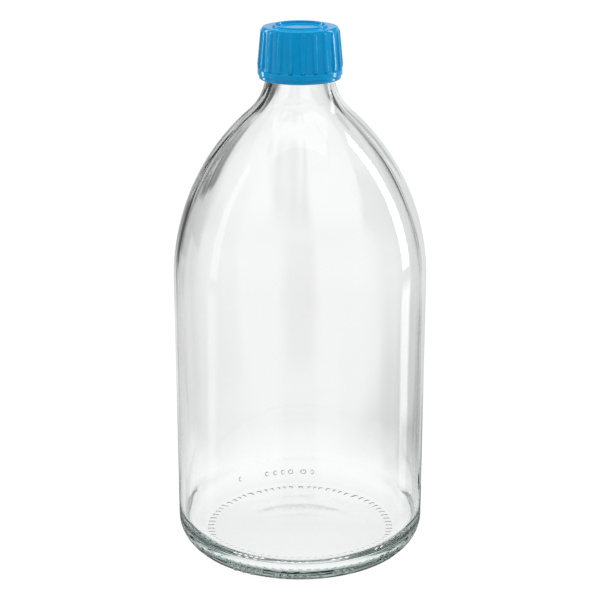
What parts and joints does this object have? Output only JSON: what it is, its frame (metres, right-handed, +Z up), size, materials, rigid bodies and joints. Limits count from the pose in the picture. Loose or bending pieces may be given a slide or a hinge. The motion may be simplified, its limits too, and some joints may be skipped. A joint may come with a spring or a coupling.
{
  "type": "reagent bottle",
  "caption": "Round clear glass bottle with a long curved shoulder, narrow threaded neck, pouring ring and ribbed plastic screw cap with a foam liner.",
  "frame": {"origin": "centre of the base, on the surface the bottle stands on", "axes": "+Z up along the bottle's axis, from the base to the cap; the bottle is round, so +X and +Y only fix where the screw thread starts"},
  "size_m": [0.0984, 0.0984, 0.2087],
  "materials": {
    "clear_glass": "clear, glossy",
    "natural_polyethylene": "milky, satin",
    "liner_foam": "matte foam",
    "blue_polypropylene": "moulded, glossy"
  },
  "bodies": {
    "bottle": {"glass_bottle": "clear_glass", "pouring_ring": "natural_polyethylene"},
    "liner": {"cap_liner": "liner_foam"},
    "cap": {"screw_cap": "blue_polypropylene"}
  },
  "joints": [
    {"name": "cap_lift", "type": "slide", "parent": "bottle", "child": "liner", "axis": [0, 0, 1], "range_m": [0, 0.0193]},
    {"name": "cap_turn", "type": "hinge", "parent": "liner", "child": "cap", "pos_m": [0, 0, 0.2], "axis": [0, 0, 1], "range_deg": [0, 2160]}
  ],
  "couplings": [
    {"joint": "cap_lift", "follows": "cap_turn", "m_per_rad": 0.0005093}
  ]
}
